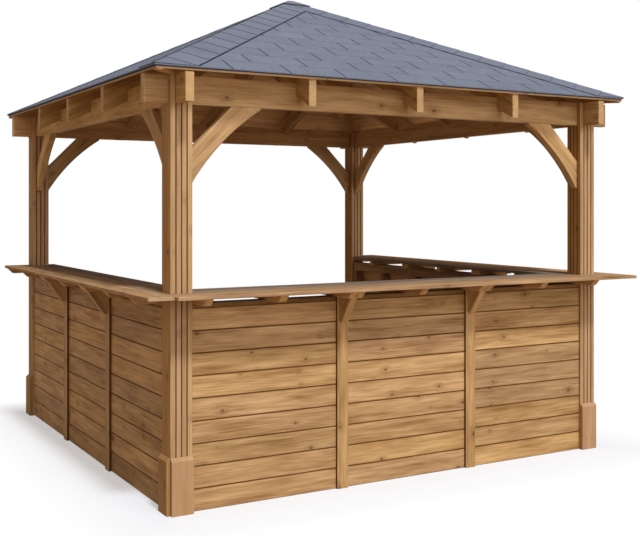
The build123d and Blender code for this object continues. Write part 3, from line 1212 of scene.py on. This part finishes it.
        # A strip over the top of the deck's edge, part black: a painted shadow line under the shingles
        jut, fall = self.drip
        level = self.felt_under - self.slope * self.deck_half
        strip = Bench.block("drip", (-self.felt_half, -self.deck_half - jut, level - fall),
                            (self.felt_half, -self.deck_half, level - jut))
        self.mitre(strip)
        Boards.mark(strip, lambda face: True, self.drip_share)
        rows = [sheet, strip]
        pattern = self.tab(exposure)
        for course in range(self.courses):
            row = Bench.copy(pattern, f"course_{course}")
            reach = self.felt_half * (1 - course / self.courses)
            half_tab = 0.5 if course % 2 else 0.0
            first = math.floor(-reach / self.tab_width - half_tab) + half_tab - 0.5
            start = self.tab_width * first + self.slit / 2
            Bench.row(row, math.ceil((reach - start) / self.tab_width), (self.tab_width, 0.0, 0.0))
            Bench.place(row, frame @ Matrix.Translation((start, course * exposure, 0.0)))
            if not course:
                self.trim(row, self.felt_half)
            self.mitre(row)
            rows.append(row)
        bpy.data.objects.remove(pattern)
        for side, slope in self.spread_round(Bench.join("shingle_tabs", rows), "shingle_tabs"):
            Boards.tint(slope)
            settle(slope, self.felt, "shingle_felt", f"{side.label}_shingles")

    def hip_tiles(self) -> None:
        """Folds tiles over the hips, each lapped over the one below it."""
        drop = self.slope / math.sqrt(2)
        fall = math.atan(drop / math.sqrt(1 + drop ** 2))
        raised = self.tile_thickness / (self.tile_exposure / self.tile_length)
        hip_length = self.felt_half * math.sqrt(2 + self.slope ** 2)
        mirrored = {"use_axis": (True, False, False), "use_clip": True, "merge_threshold": 0.0001}

        def folded(name: str, half: float, low: float, length: float, thickness: float) -> Piece:
            """One half of a strip that is folded along the hip.

            Args:
                name: The strip's name.
                half: Its width from the fold.
                low: The height of its under side.
                length: Its length along the hip.
                thickness: Its thickness.

            Returns:
                The strip, open at the fold for the mirror.
            """
            piece = Bench.block(name, (0.0, 0.0, low), (half, length, low + thickness))
            Bench.open_face(piece, lambda face: face.calc_center_median().x < TOUCH)
            Bench.push(piece, (0.0, 0.0, -math.tan(fall) * half), lambda at: at.x > half / 2)
            return piece

        # A black bed all over, wider than the tiles: a painted shadow line along their edges
        bed = folded("bed", self.tile_half + self.bed_margin, 0.0, hip_length + self.tile_length, self.bed)
        Bench.modify(bed, "MIRROR", **mirrored)
        Boards.mark(bed, lambda face: True)
        tile = folded("tile", self.tile_half, self.bed, self.tile_length, self.tile_thickness)
        Bench.push(tile, (0.0, 0.0, raised), lambda at: at.y < self.tile_length / 2)
        Bench.bevel(tile, self.tile_thickness * self.tile_bevel, lambda edge: all(
            vertex.co.y < TOUCH and vertex.normal.z > 0.0 for vertex in edge.verts))
        Bench.modify(tile, "MIRROR", **mirrored)
        # Black lower edges: cut felt, and painted shadow at each lap
        Boards.mark(tile, lambda face: face.normal.y < self.tile_front)
        Bench.row(tile, math.ceil(hip_length / self.tile_exposure) + 1, (0.0, self.tile_exposure, 0.0))
        tile = Bench.join("tile", [tile, bed])
        across = Vector((1.0, 1.0, 0.0)).normalized()
        along = Vector((-1.0, 1.0, self.slope)).normalized()
        corner = self.felt_half
        foot = Vector((corner, -corner, self.tile_under - self.slope * corner))
        frame = Matrix((across, along, across.cross(along))).transposed().to_4x4()
        frame.translation = foot - along * self.tile_exposure * self.tile_start
        Bench.place(tile, frame)
        flat = self.cap_flat - self.cap_thickness / 2
        for point, outwards in (((corner, 0.0, 0.0), (1.0, 0.0, 0.0)),
                                ((0.0, -corner, 0.0), (0.0, -1.0, 0.0)),
                                ((self.tile_joint, 0.0, 0.0), (-1.0, 0.0, 0.0)),
                                ((0.0, -self.tile_joint, 0.0), (0.0, 1.0, 0.0)),
                                ((0.0, 0.0, flat), (0.0, 0.0, 1.0))):
            Bench.cut(tile, point, outwards)
        tiles = Bench.join("hip_tiles", [piece for _, piece in self.spread_round(tile, "hip_tiles")])
        Boards.tint(tiles)
        settle(tiles, self.felt, "shingle_felt", "hip_caps")

    def peak_cap(self) -> None:
        """Folds the four-sided cap over the peak, pressed flat at the top."""
        Bench.clear()
        rise = self.cap_half * self.slope
        bpy.ops.mesh.primitive_cone_add(vertices=4, radius1=self.cap_half * math.sqrt(2), depth=rise,
                                        end_fill_type="NOTHING", rotation=(0.0, 0.0, math.pi / 4),
                                        location=(0.0, 0.0, self.cap_under - rise / 2))
        cap = bpy.context.active_object
        Bench.fix()
        Bench.modify(cap, "SOLIDIFY", thickness=self.cap_thickness, offset=1.0, use_even_offset=True)
        Bench.cut(cap, (0.0, 0.0, self.cap_flat), (0.0, 0.0, 1.0))
        lid = Bench.block("lid", (-self.cap_lid, -self.cap_lid, self.cap_flat - self.cap_thickness / 2),
                          (self.cap_lid, self.cap_lid, self.cap_flat + self.tile_joint))
        cap = Bench.join("peak_cap", [cap, lid])
        Bench.place(cap, Matrix.Translation(PLAN_MIDDLE))
        for axis, hand in ((0, -1.0), (0, 1.0), (1, -1.0), (1, 1.0)):
            point, outwards = Vector(PLAN_MIDDLE), Vector()
            point[axis] += hand * self.cap_half
            outwards[axis] = hand
            Bench.cut(cap, point, outwards)
        # Black upright faces: cut felt edges, and painted shade under the cap's edge
        Boards.mark(cap, lambda face: abs(face.normal.z) < self.cap_upright)
        Boards.tint(cap)
        settle(cap, self.felt, "shingle_felt", "apex_cap")

    def build(self) -> None:
        """Builds the covering from the deck up."""
        self.deck()
        self.shingles()
        self.hip_tiles()
        self.peak_cap()


@dataclass
class Studio:
    """The white studio: floor, soft light and the camera at the photograph's viewpoint."""

    white: str = "#ffffff"

    # The floor keeps this share of a shadow, which fades out between two distances from the middle.
    floor_size: float = 80.0
    floor_glow: float = 1.0
    shadow_share: float = 0.56
    shadow_reach: Span = (1.5, 1.93)
    bounce: str = "#aa927c"
    matt: str = "#ebf2ff"

    ambient: float = 0.34
    ambient_colour: str = "#ffdfc4"
    key_strength: float = 2.2
    key_from: tuple[float, float, float] = (-0.03, -0.63, 1.0)
    key_angle: float = math.radians(8)
    fill_strength: float = 1.2
    fill_from: tuple[float, float, float] = (0.15, -0.95, 0.27)
    fill_angle: float = math.radians(60)

    eye: tuple[float, float, float] = (-3.2844, -6.1523 + PLAN_MIDDLE[1], 1.5509)
    heading: float = math.radians(-29.839)
    sensor: float = 36.0
    lens: float = 56.157
    shift: float = -0.0962

    def seen_directly(self, tree: Tree) -> Node:
        """Tells where the camera, a reflection or a clear surface looks on.

        Args:
            tree: The node tree that asks.

        Returns:
            A node that gives 1 there and 0 elsewhere.
        """
        path = put(tree, "ShaderNodeLightPath").outputs
        either = put(tree, "ShaderNodeMath", {0: path["Is Camera Ray"], 1: path["Is Glossy Ray"]},
                     operation="MAXIMUM")
        return put(tree, "ShaderNodeMath", {0: either, 1: path["Is Transmission Ray"]}, operation="MAXIMUM")

    def floor(self) -> None:
        """A matt white floor that keeps a pale shadow near the gazebo and sends a little light back up."""
        Bench.clear()
        bpy.ops.mesh.primitive_plane_add(size=self.floor_size)
        floor = bpy.context.active_object
        floor.name = "studio_floor"
        material = bpy.data.materials.new("matt_white_floor")
        tree = blank(material)
        seen = self.seen_directly(tree)
        near, far = self.shadow_reach
        place = put(tree, "ShaderNodeTexCoord").outputs["Object"]
        centred = put(tree, "ShaderNodeVectorMath", {0: place, 1: PLAN_MIDDLE}, operation="SUBTRACT")
        upright = put(tree, "ShaderNodeVectorMath", {0: centred}, operation="ABSOLUTE")
        parts = put(tree, "ShaderNodeSeparateXYZ", {0: upright}).outputs
        away = put(tree, "ShaderNodeMath", {0: parts["X"], 1: parts["Y"]}, operation="MAXIMUM")
        white_share = put(tree, "ShaderNodeMapRange", {
            "Value": away, "From Min": near, "From Max": far, "To Min": 1 - self.shadow_share, "To Max": 1.0})
        tint = put(tree, "ShaderNodeMix", {0: seen, 6: linear(self.bounce), 7: linear(self.matt)},
                   data_type="RGBA")
        matt = put(tree, "ShaderNodeBsdfDiffuse", {"Color": tint})
        glow = put(tree, "ShaderNodeEmission", {"Color": linear(self.white), "Strength": self.floor_glow})
        share = put(tree, "ShaderNodeMath", {0: seen, 1: white_share}, operation="MULTIPLY")
        mixed = put(tree, "ShaderNodeMixShader", {0: share, 1: matt, 2: glow})
        put(tree, "ShaderNodeOutputMaterial", {0: mixed})
        floor.data.materials.append(material)

    def lights(self) -> None:
        """A key light from high over the front, a broad fill from the front and even light all round."""
        lamps = (("key_light", self.key_strength, self.key_angle, self.key_from),
                 ("fill_light", self.fill_strength, self.fill_angle, self.fill_from))
        for name, strength, angle, source in lamps:
            Bench.clear()
            bpy.ops.object.light_add(type="SUN")
            lamp = bpy.context.active_object
            lamp.name = name
            lamp.data.energy = strength
            lamp.data.angle = angle
            lamp.rotation_euler = Vector(source).to_track_quat("Z", "Y").to_euler()
        world = bpy.data.worlds.new("white_studio")
        tree = blank(world)
        fill = put(tree, "ShaderNodeBackground", {
            "Color": linear(self.ambient_colour), "Strength": self.ambient})
        white = put(tree, "ShaderNodeBackground", {"Color": linear(self.white), "Strength": 1.0})
        mixed = put(tree, "ShaderNodeMixShader", {0: self.seen_directly(tree), 1: fill, 2: white})
        put(tree, "ShaderNodeOutputWorld", {0: mixed})
        bpy.context.scene.world = world

    def camera(self) -> None:
        """The camera at eye height, to the left of the front."""
        Bench.clear()
        bpy.ops.object.camera_add(location=self.eye, rotation=(math.pi / 2, 0.0, self.heading))
        camera = bpy.context.active_object
        camera.name = "viewpoint"
        camera.data.sensor_width = self.sensor
        camera.data.lens = self.lens
        camera.data.shift_y = self.shift
        bpy.context.scene.camera = camera

    def build(self) -> None:
        """Sets up the whole studio."""
        self.camera()
        self.floor()
        self.lights()
        bpy.context.scene.view_settings.view_transform = "Standard"


def main() -> None:
    """Builds every sub-assembly in order."""
    logging.basicConfig(level=logging.INFO, format="%(name)s: %(message)s")
    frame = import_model()
    nodes = frame["nodes"]
    Studio().build()

    pine = {
        # Posts: the low tone of their left and right faces is painted shade, darker and warmer
        "post": Pine("stained_pine_posts", early="#d3b288", late="#8f6943", depth=0.36, soak="#5f3a16",
                     casts=(1.26, 1.0), streaks=((700.0, 40.0, 1.0), (300.0, 12.0, 0.6), (400.0, 4.0, 0.4))),
        # The plinth's left and right faces are darker and warmer as painted shade
        "plinth": Pine("stained_pine_plinth", early="#cbaa80", late="#9a744e", ring_share=0.06,
                       tones=(0.8, 1.08), casts=(1.22, 1.0),
                       streaks=((500.0, 60.0, 0.8), (200.0, 15.0, 0.4))),
        # The battens' dark soak colour paints shade along their sides
        "batten": Pine("stained_pine_battens", soak="#452608"),
        "frame": Pine("stained_pine_beams", early="#dcbb8a", late="#9d764b"),
        "rafter": Pine("stained_pine_rafters"),
        "deck": Pine("stained_pine_deck", early="#ecd0a4", late="#b48d62"),
        "wall": Pine("stained_pine_boards", tones=(0.84, 1.17), streaks=(
            (450.0, 60.0, 1.4), (260.0, 20.0, 0.95), (110.0, 8.0, 0.6), (300.0, 4.0, 0.5))),
        # A darker copy of the pine for the studs inside the walls: painted shade
        "stud": Pine("stained_pine_studs", early="#ac885c", late="#6f4e2e"),
        # Darker, greyer low tones paint the shade under the roof on the counters' inner boards
        "counter": Pine("stained_pine_counter", early="#ccab84", late="#8c6b4a", tones=(0.5, 0.96),
                        casts=(0.55, 1.0), cast_until=0.8, roughness=0.8, gloss=0.0),
    }
    dressed = {name: finish.material() for name, finish in pine.items()}
    felt = MineralFelt("slate_grit_felt").material()

    corners = [f"{end}_{hand}" for end in ("front", "back") for hand in ("left", "right")]
    sides = [side.label for side in Side]
    Posts(nodes, dressed["post"], "post_timber").build(*(f"post_{corner}" for corner in corners))
    Plinths(nodes, dressed["plinth"], "plinth_timber", arris=0.0015, spread=0.2).build("plinth_boards")
    Timbers(nodes, dressed["frame"], "frame_timber").build(*(f"{side}_beam" for side in sides))
    Timbers(nodes, dressed["frame"], "frame_timber", arris=0.003).build(
        *(f"braces_{corner}" for corner in corners))
    Timbers(nodes, dressed["rafter"], "rafter_timber", arris=0.002).build(
        *(f"{side}_rafters" for side in sides), "hip_rafters", "king_block")
    RoofSlopes(dressed["deck"], felt).build()
    for side in (Side.FRONT, Side.LEFT, Side.RIGHT):
        wall = side.label
        BoardedWall(side, dressed["wall"]).build()
        Timbers(nodes, dressed["stud"], "stud_timber", arris=0.0015, spread=1.0).build(f"{wall}_wall_frame")
        Battens(nodes, dressed["batten"], "frame_timber", arris=0.0015).build(f"{wall}_battens")
        Timbers(nodes, dressed["frame"], "frame_timber", arris=0.002).build(f"{wall}_bearers")
        Counters(nodes, dressed["counter"], "counter_timber", arris=0.0015).build(f"{wall}_counter")


if __name__ == "__main__":
    main()
